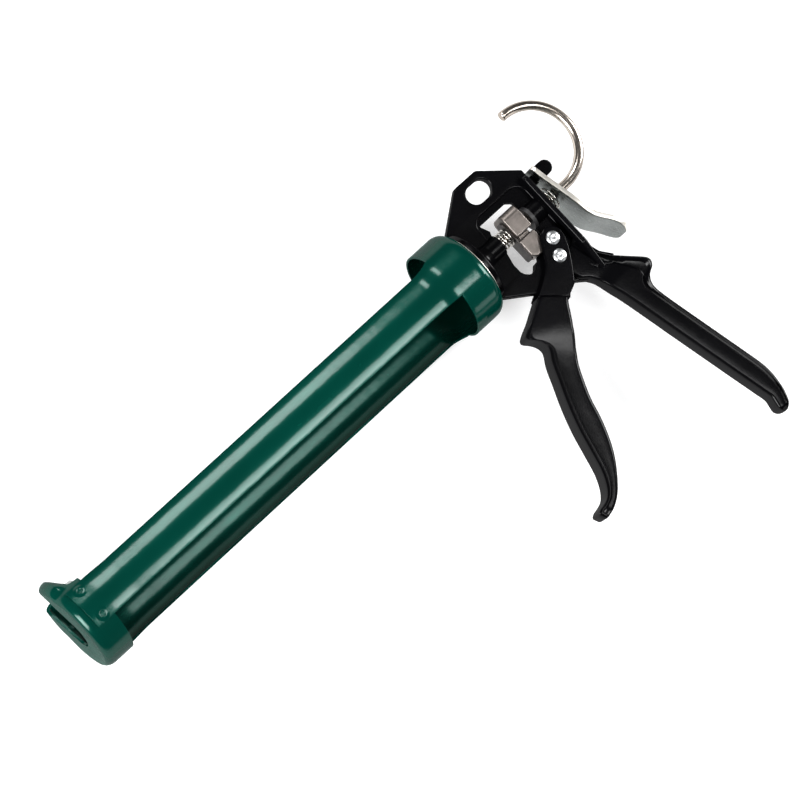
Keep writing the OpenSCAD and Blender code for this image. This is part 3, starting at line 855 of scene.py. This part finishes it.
def section(front, back, half, thin):
    """One ring of a handle: (distance from its front edge, half thickness) mirrored about z = 0."""
    along = (back - front) / float(np.linalg.norm(back - front))
    pts = [(front + along * d, z * thin) for d, z in half]
    ring = [(q[0], -q[1], z) for q, z in pts]
    return ring + [(q[0], -q[1], -z) for q, z in pts[-2:0:-1]]


def handle():
    """Grip with a flat side at the front, a step, and a rounded palm side."""
    rings = []
    for a, b in zip(np.array(curve(GRIP_F, 4)), np.array(curve(GRIP_B, 4))):
        w = float(np.linalg.norm(b - a))
        depth = (a[1] + b[1]) / 2
        top = 5.9 + 1.1 * smooth01((depth - 50) / 10)
        low = 4.6 + 0.9 * smooth01((depth - 163) / 6)
        past_toe = max(0, (depth - 174.5) / 4.4)
        thin = math.sqrt(max(0.02, 1 - past_toe ** 2))
        horn = math.exp(-((depth - 62) / 14) ** 2)      # the stop above the hand
        rim = low + 1.5 * horn + 0.35
        step = w * (0.61 - 0.03 * horn)
        step = min(max(step, 3.5), w - 4.2) if w > 9 else w * 0.5
        e = min(2.0, w * 0.2)
        s = min(1.0, (w - step) / 9.0)
        half = [
            (0, 0), (0, top - e * 1.1), (e * 0.13, top - e * 0.5), (e * 0.5, top - e * 0.13), (e, top),
            ((e + step) / 2, top), (step - 0.1, top), (step + 0.35, top - 0.12),
            (step + 0.9 * s, (top + low) / 2 + 0.2), (step + 1.7 * s, low + 0.35),
            (step + 2.6 * s, low), (w - 5.2 * s, low + 0.05 + 0.3 * horn),
            (w - 4.4 * s, (low + rim) / 2 + 0.1 * horn), (w - 3.6 * s, rim), (w - 2.6 * s, rim - 0.15),
            (w - 1.5 * s, rim * 0.86), (w - 0.7 * s, rim * 0.66), (w - 0.15 * s, rim * 0.34), (w, 0)]
        rings.append(section(a, b, half, thin))
    return loft(rings)


def back_flange():
    out = rounded([(-12, 19, 3.2), (-12, -31, 3), (-6.4, -50, 2), (6.4, -50, 2), (12, -31, 3),
                   (12, 19, 3.2)], 7)
    return along_x(plate(out, [circle((0, 0), 4.0, 32)], (56.0, 59.4), 0.9, 3))


def casting_pieces():
    """Everything that is joined to the flat plate of the frame."""
    yield from (lathe(soft(HUB), 96), lathe(soft(HUB_NOSE), 72))
    yield from (lathe(soft(REAR_BOSS)), lathe(soft(SPRING_COLLAR), 48))
    yield back_flange()
    yield handle()
    yield plate(circle(PIVOT, 6.4, 48), z=(-6.0, 6.0), r=0.4)
    # the tab that keeps the release lever, with its half-round head
    tab = [(60, 11.2, 0.4), (72, 11.2, 0.4), (72, 16.2, 0.4), (60, 16.2, 0.4)]
    yield plate(rounded(tab), z=(-2.5, 2.5), r=0.5)
    head = [(*q, 0) for q in arc((74.0, 15), 4.4, -80, 80, 14)]
    yield plate(rounded([(70.6, 10.5, 0.6)] + head + [(70.6, 19.5, 0.6)]), z=(-2.5, 2.5), r=0.6)
    # small ribs where the flange runs out into the handle
    for half, pts in ((6.6, [(58.6, -38.5), (60.2, -38.0), (67.6, -47.2), (66.2, -48.6)]),
                      (6.7, [(52.6, -44.6), (54.4, -43.4), (64.6, -49.8), (63.4, -51.2)]),
                      (6.5, [(52.2, -41.8), (54.2, -40.6), (56.2, -46.6), (54.6, -47.2)])):
        yield plate(rounded([(x, y, 0.6) for x, y in pts]), z=(-half, half), r=0.5)


ring = plate(FRAME_OUTLINE, [POCKET, HANGING_SLOT], (-PLATE_H, PLATE_H), 0.8, 3)
pocket_floor = plate(POCKET_FLOOR, z=(-2.0, 2.0), r=0.3)
casting = combine(to_mesh(ring, "frame_casting"), [to_mesh(pocket_floor, "floor")])
combine(casting, [to_mesh(plate(WINDOW, z=(-9, 9), r=0), "cut")], "DIFFERENCE")
combine(casting, [to_mesh(part, "part") for part in casting_pieces()])
pivot_bore = plate(circle(PIVOT, 3.07, 40), z=(-9, 9), r=0)
rod_way = lathe([(0.01, 45.2), (7.47, 45.2), (7.47, 47.6), (0.01, 47.6)])
combine(casting, [to_mesh(pivot_bore, "cut"), to_mesh(rod_way, "cut")], "DIFFERENCE")
shade(casting, 34)
piece(casting, "body", BLACK, ["frame"])


# ---------------------------------------------------------------- trigger
LEV_F = [(16.3, 36.6), (11, 39.5), (3.9, 43.3), (-1.5, 45.7), (-5.0, 48.0), (-5.0, 50.2), (-1.9, 53.6),
         (0.3, 57.8), (0.0, 62), (-4, 68.4), (-8.6, 78.9), (-14.1, 91.6), (-19, 105.6), (-22.5, 118.9),
         (-25.6, 130.4), (-29.4, 138.6), (-33.7, 143.6), (-38.2, 145.3), (-41.5, 146.0),
         (-43.7, 147.3), (-44.5, 149.0)]
LEV_B = [(30.1, 47.8), (27.5, 51), (25, 55), (22.5, 58.8), (20.3, 62), (18.3, 65.2), (16, 68.2),
         (13.6, 71.2), (11.2, 74.6), (7.8, 79.8), (4.2, 87.2), (-0.3, 98.1), (-3.6, 109.6),
         (-8.2, 121.4), (-13.6, 131.2), (-20.4, 140), (-27.2, 146.7), (-34, 150.8), (-39, 152.0),
         (-41.5, 152.3), (-43.4, 151.4)]


def lever():
    """Trigger lever: a wide front band, a groove line, and a flat web that rounds off at the back."""
    front = np.array(curve(LEV_F, 4))
    back = np.array(curve(LEV_B, 4))
    n = len(front)
    full = 8.0          # half the thickness of the band
    tip = 0.93          # share of the length after which the end rounds off
    rings = []
    for k in range(n):
        w = float(np.linalg.norm(back[k] - front[k]))
        t = k / (n - 1)
        thin = 1 if t < tip else math.sqrt(max(0.05, 1 - ((t - tip) / 0.075) ** 2))
        web = full - 1.35 * smooth01((t - 0.14) / 0.36) * (1 - smooth01((t - 0.86) / 0.06))
        band = min(3.0, w * 0.3)
        r = min(1.2, w * 0.14)
        g = min(2.4, w * 0.25)
        half = [
            (0, 0), (0, full * 0.5), (0.05, full - r), (r * 0.3, full - r * 0.3), (r, full),
            (band - 0.3, full), (band + 0.1, full - 0.25 * (full - web)),
            (band + 0.7, web + 0.12 * (full - web)), (band + 1.3, web), ((band + w) / 2, web),
            (w - g, web), (w - g * 0.6, web - g * 0.09), (w - g * 0.25, web - g * 0.38),
            (w - g * 0.03, web - g * 0.9), (w, web * 0.5), (w, 0)]
        rings.append(section(front[k], back[k], half, thin))
    return loft(rings)


def cheek(side):
    """One side of the fork, rounded more on its outer face, and the pad that joins it to the lever."""
    edge = curve([(41.0, -12.4), (38.6, -16.4), (35.6, -21.3), (30.5, -27.8), (23.7, -32.3),
                  (16.0, -36.4)], 4)
    back = curve([(37.4, -44.6), (44, -36), (49.7, -27), (52.4, -21)], 4)
    outline = arc(DRIVE_PIN, 7.0, 0, 135, 12) + edge + [(16.0, -36.5), (29.8, -47.9)] + back
    pad = [(22, -36.5), (15.8, -37.5), (13, -42), (24, -50), (30.5, -48.6), (33, -46)]
    outer, inner = 0.75, 0.3
    if side > 0:
        return [plate(outline, z=(6.4, 9.4), r=outer, rb=inner), plate(pad, z=(5.2, 7.5), r=0)]
    return [plate(outline, z=(-9.4, -6.4), r=inner, rb=outer), plate(pad, z=(-7.5, -5.2), r=0)]


trig = to_mesh(lever(), "trigger_lever")
combine(trig, [to_mesh(part, "part") for part in cheek(-1) + cheek(1)])
bores = [plate(circle(PIVOT, 3.0, 40), z=(-12, 12), r=0),
         plate(circle(DRIVE_PIN, 2.25, 36), z=(-12, 12), r=0)]
combine(trig, [to_mesh(bore, "cut") for bore in bores], "DIFFERENCE")
shade(trig, 34)
piece(trig, "squeeze", BLACK, ["trigger"])


def fork_rivet(name, at, r, node):
    """Rivet across the fork with spun, dished heads."""
    head = [(r, 8.9), (3.9, 9.4), (4.1, 9.6), (4.06, 9.95), (3.7, 10.4), (3.0, 10.8), (2.2, 11.02),
            (1.5, 11.08), (0.9, 11.0), (0.4, 10.93), (0, 10.92)]
    profile = [(a, -b) for a, b in head[::-1]] + head
    turned = tube(profile, 40).moved(lambda x, y, z: (at[0] + y, at[1] + z, x))
    ob = to_mesh(turned, name)
    shade(ob, 48)
    piece(ob, "squeeze", RIVET, [node])


fork_rivet("pivot_rivet_spun", PIVOT, 2.99, "trigger_pivot_rivet")
fork_rivet("drive_rivet_spun", DRIVE_PIN, 2.24, "drive_rivet")


# ---------------------------------------------------------------- release lever
LEVER_LEAN = 8.3            # degrees that the lever leans back at rest
LEVER_X = 66.5              # its front face on the rod's axis
LEVER_BOTTOM = -43.0
LEVER_T = 2.8
THUMB_HALF = 16.0
SHOULDER = 17.7             # above this the lever narrows to its top corners
THUMB_FROM = -14            # below this it has its full width
END_R = 10.0                # roundness of its lower corners


def lever_half(y):
    """Half the width of the release lever at y."""
    if y > SHOULDER:
        return 9 + (LEVER_TOP - y)
    if y > THUMB_FROM:
        return 11 + (THUMB_HALF - 11) * smooth01((SHOULDER - y) / (SHOULDER - THUMB_FROM))
    down = (LEVER_BOTTOM + END_R - y) / END_R
    if down < 0:
        return THUMB_HALF
    return THUMB_HALF - END_R + END_R * math.sqrt(1 - down ** 2) if down < 1 else 0.0


def release():
    """Stamped thumb lever: straight past the rod, bent back, and bent a little forward again."""
    x, y = LEVER_X - LEVER_TOP * math.tan(math.radians(LEVER_LEAN)), LEVER_TOP
    lean = LEVER_LEAN
    line = [(x, y, lean)]
    # each stretch has a length, a number of steps, and the lean that it ends at
    for length, steps, end in ((LEVER_TOP + 18.0, 20, LEVER_LEAN), (11.0, 14, 37), (5.0, 6, 37),
                               (7.0, 14, 22), (7.0, 16, 22)):
        start = lean
        for k in range(steps):
            t = math.radians(start + (end - start) * (k + 0.5) / steps)
            x, y = x + math.sin(t) * length / steps, y - math.cos(t) * length / steps
            lean = start + (end - start) * (k + 1) / steps
            line.append((x, y, lean))
    e = 0.55
    rings = []
    for x, y, lean in line:
        h = lever_half(y)
        if h <= 0.9:
            continue
        back_x, back_y = math.cos(math.radians(lean)), math.sin(math.radians(lean))
        across = np.linspace(-(h - e), h - e, 15)
        near = [(e * 0.3, h - e * 0.3), (e, h), (LEVER_T - e, h), (LEVER_T - e * 0.3, h - e * 0.3)]
        loop = [(0.0, z) for z in across] + near
        loop += [(LEVER_T, z) for z in across[::-1]] + [(d, -z) for d, z in near[::-1]]
        rings.append([(x + d * back_x, y + d * back_y, z) for d, z in loop])
    return loft(rings)


rel = to_mesh(release(), "release_lever_stamped")
hole = arc((0, 0.3), 3.3, 0, 180, 20) + arc((0, -0.3), 3.3, 180, 360, 20)
slot = rounded([(-2.9, 10.6, 0.6), (2.9, 10.6, 0.6), (2.9, 16.8, 0.6), (-2.9, 16.8, 0.6)])
cuts = [along_x(plate(hole, z=(58, 78), r=0)), along_x(plate(slot, z=(58, 74), r=0))]
combine(rel, [to_mesh(cut, "cut") for cut in cuts], "DIFFERENCE")
shade(rel, 40, bevel=0.25, segments=2, bevel_angle=60)
piece(rel, "release", ZINC, ["release_lever"])
# The lever's rims take the bright edge metal: bare sheared edges, brightened to paint in their edge
# highlights.
second_material(rel, BARE_EDGE_AND_GLINT, lambda c, n: abs(n[0]) < 0.6 and (abs(c[2]) > 9 or c[1] < -38))


# ---------------------------------------------------------------- CAD nodes that stay
for node, mat in (("hub_nut", ZINC), ("wave_washer", SPRING), ("front_rod_bush", BRASS),
                  ("rear_rod_bush", NYLON), ("pusher_plate", ZINC), ("pusher_washer", ZINC),
                  ("pusher_nut", ZINC), ("drive_roller", SINTER)):
    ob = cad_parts[node]
    ob.data.materials.clear()
    ob.data.materials.append(mat)
    edge = ob.modifiers.new("edge", "BEVEL")
    edge.width = 0.00025
    edge.segments = 2
    edge.limit_method = "ANGLE"
    edge.angle_limit = math.radians(40)
    flats = ob.modifiers.new("flats", "WEIGHTED_NORMAL")
    flats.keep_sharp = True


# ---------------------------------------------------------------- floor, light and camera
def floor():
    """Pale floor that glows a little, so that the shadows on it stay faint."""
    me = bpy.data.meshes.new("floor")
    bm = bmesh.new()
    bmesh.ops.create_grid(bm, x_segments=8, y_segments=8, size=3.0)
    bm.to_mesh(me)
    bm.free()
    ob = bpy.data.objects.new("floor", me)
    bpy.context.scene.collection.objects.link(ob)
    ob.location = (0, 0, -0.0006)
    m, tree, shader, place = new_mat("pale_floor")
    tone = noise(tree, place, 3, 3)
    colour = blend(tree, tone, (0.66, 0.66, 0.665), (0.69, 0.69, 0.69))
    tree.links.new(colour, shader.inputs["Base Color"])
    shader.inputs["Emission Color"].default_value = (1, 1, 1, 1)
    shader.inputs["Emission Strength"].default_value = 0.42
    shader.inputs["Roughness"].default_value = 0.9
    shader.inputs["Specular IOR Level"].default_value = 0.1
    me.materials.append(m)


floor()


def softbox(name, at, size, power, along=(1, 0, 0), aim=(-0.10, -0.02, 0.0), spread_deg=120):
    """Rectangular light at a point in metres about the rod axis, its first side lying along a direction."""
    away = (Vector(at) - Vector(aim)).normalized()
    first = Vector(along)
    first = (first - away * first.dot(away)).normalized()
    light = bpy.data.lights.new(name, "AREA")
    light.shape = "RECTANGLE"
    light.size, light.size_y = size
    light.energy = power
    light.spread = math.radians(spread_deg)
    ob = bpy.data.objects.new(name, light)
    bpy.context.scene.collection.objects.link(ob)
    turn = Matrix((first, away.cross(first), away)).transposed()
    ob.matrix_world = Matrix.Translation(Vector(ORIGIN) + Vector(at)) @ turn.to_4x4()


# A strip far out on the hanging side and a box above the handles' side give the two bright bands
# along the near rail. A weak low box fills the handles' side. Two big ones stand off the ends and
# mostly light the floor.
softbox("strip", (0.20, 1.150, 0.918), (0.34, 0.62), 4.2, aim=(-0.13, 0.012, 0.02))
softbox("overhead", (0.26, -0.37, 1.42), (0.44, 0.44), 1.45, aim=(-0.20, 0.34, 0.0), spread_deg=60)
softbox("low", (0.38, -1.35, 0.26), (0.5, 0.30), 0.6)
softbox("front", (-1.40, 0.15, 0.95), (0.9, 0.9), 11, (0, 1, 0), spread_deg=80)
softbox("rear", (1.55, -0.45, 0.75), (0.8, 0.8), 9, (0, 1, 0), spread_deg=80)

world = bpy.data.worlds.new("studio")
bpy.context.scene.world = world
world.use_nodes = True
sky = world.node_tree.nodes["Background"]
sky.inputs["Color"].default_value = (1, 1, 1, 1)
sky.inputs["Strength"].default_value = 0.06

# The camera looks down at the gun's left side: swung toward the cap by SWING, dipped by DIP and
# tilted by TILT, and then rolled so that the gun runs up the picture.
SWING, DIP, TILT = math.radians(16.99), math.radians(0.13), math.radians(1.15)
ROLL_COS, ROLL_SIN = 0.7206, 0.6934
DISTANCE = 2.0545                       # metres along the line of sight to the rod axis
TO_LEFT, TO_BELOW = 0.07836, 0.02462    # metres that the camera is off the origin, before the roll
across = Vector((math.cos(SWING), 0, math.sin(SWING)))
toward = Vector((-math.sin(SWING), 0, math.cos(SWING)))
below = Vector((0, -1, 0))
dipped = math.cos(DIP) * below - math.sin(DIP) * toward
back = math.sin(DIP) * below + math.cos(DIP) * toward
level_right = math.cos(TILT) * across - math.sin(TILT) * dipped
level_down = math.sin(TILT) * across + math.cos(TILT) * dipped
right = ROLL_COS * level_right + ROLL_SIN * level_down
down = -ROLL_SIN * level_right + ROLL_COS * level_down
cam_data = bpy.data.cameras.new("camera")
cam_data.sensor_width = 36
cam_data.lens = 165.4
cam_data.clip_start = 0.05
cam_data.clip_end = 20
cam = bpy.data.objects.new("camera", cam_data)
bpy.context.scene.collection.objects.link(cam)
place = Vector(ORIGIN) - TO_LEFT * level_right + TO_BELOW * level_down + DISTANCE * back
facing = Matrix((right, -down, back)).transposed()
cam.matrix_world = Matrix.Translation(place) @ facing.to_4x4()
bpy.context.scene.camera = cam
bpy.context.scene.view_settings.view_transform = "Standard"
